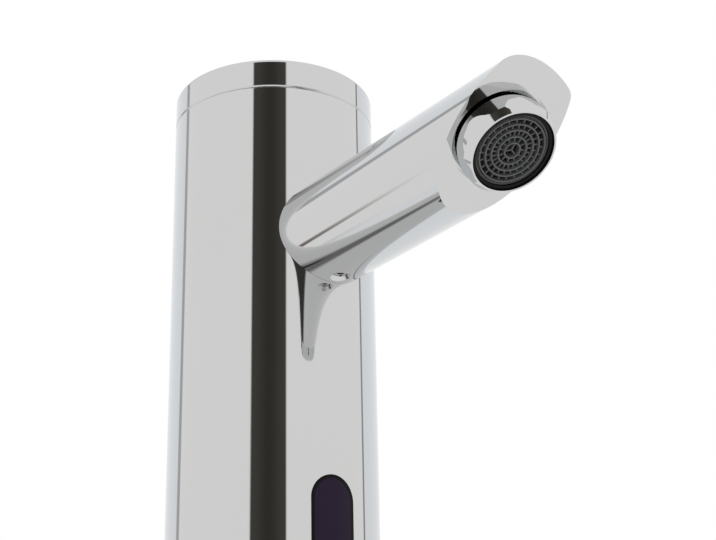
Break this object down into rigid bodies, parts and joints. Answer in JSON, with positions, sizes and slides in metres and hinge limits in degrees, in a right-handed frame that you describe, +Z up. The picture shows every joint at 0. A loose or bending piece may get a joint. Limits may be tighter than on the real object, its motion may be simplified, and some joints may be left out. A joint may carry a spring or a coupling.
{
  "type": "sensor tap",
  "caption": "touch-free basin tap with a round pillar body, flat cap, straight round spout cut off at a slant, angled aerator, front sensor window and threaded deck shank",
  "frame": {"origin": "centre of the deck hole, on top of the deck, under the gasket", "axes": "+Z up along the pillar, -Y out along the spout towards the user, +X to the right of an observer who looks along +Y, at the spout's end"},
  "size_m": [0.06, 0.1485, 0.264],
  "materials": {
    "chrome": "polished chrome plate",
    "brass": "turned brass",
    "steel": "plain stainless steel",
    "black_rubber": "soft black rubber",
    "black_plastic": "black moulded plastic",
    "grey_plastic": "grey moulded plastic",
    "white_plastic": "white moulded plastic",
    "dark_window": "dark tinted window, infrared passing",
    "board_green": "circuit board",
    "clear_lens": "tinted lens",
    "copper_winding": "taped copper winding",
    "cell_wrap": "shrink wrap"
  },
  "bodies": {
    "tap": {"body_casing": "chrome", "top_cap": "chrome", "spout": "chrome", "aerator_housing": "chrome", "base_plug": "brass", "threaded_shank": "brass", "shank_nut": "brass", "spout_nipple": "brass", "outlet_block": "brass", "steel_washer": "steel", "base_lock_screw": "steel", "spout_grub_screw": "steel", "bonnet_screws": "steel", "frame_screws": "steel", "core_tube": "steel", "plunger_spring": "steel", "check_valve_spring": "steel", "coil_yoke": "steel", "battery_contacts": "steel", "aerator_screen": "steel", "deck_gasket": "black_rubber", "rubber_washer": "black_rubber", "cap_o_ring": "black_rubber", "riser_o_ring": "black_rubber", "outlet_tube_o_rings": "black_rubber", "nipple_o_rings": "black_rubber", "aerator_gasket": "black_rubber", "diaphragm": "black_rubber", "window_gasket": "black_rubber", "aerator_cage": "black_plastic", "valve_body": "black_plastic", "valve_bonnet": "black_plastic", "battery_holder": "black_plastic", "sensor_holder": "black_plastic", "inner_frame": "black_plastic", "aerator_grille": "grey_plastic", "flow_regulator": "white_plastic", "check_valve_body": "white_plastic", "riser_tube": "white_plastic", "outlet_tube": "white_plastic", "inlet_strainer": "white_plastic", "control_module": "white_plastic", "sensor_window": "dark_window", "sensor_board": "board_green", "ir_emitter": "clear_lens", "ir_receiver": "clear_lens", "solenoid_coil": "copper_winding", "battery": "cell_wrap"},
    "plunger_body": {"plunger": "steel"},
    "main_valve": {"diaphragm_insert": "white_plastic"},
    "check_poppet": {"check_valve_poppet": "white_plastic"}
  },
  "joints": [
    {"name": "plunger_slide", "type": "slide", "parent": "tap", "child": "plunger_body", "axis": [0, 0, 1], "range_m": [0, 0.0012], "stiffness_N_per_m": 150, "springref_m": -0.006, "deforming": ["plunger_spring"]},
    {"name": "main_valve_slide", "type": "slide", "parent": "tap", "child": "main_valve", "axis": [0, 0, 1], "range_m": [0, 0.001]},
    {"name": "check_slide", "type": "slide", "parent": "tap", "child": "check_poppet", "axis": [0, 0, 1], "range_m": [0, 0.0025], "stiffness_N_per_m": 10, "springref_m": -0.003, "deforming": ["check_valve_spring"]}
  ],
  "couplings": [
    {"joint": "main_valve_slide", "follows": "plunger_slide", "ratio": 0.8333}
  ]
}
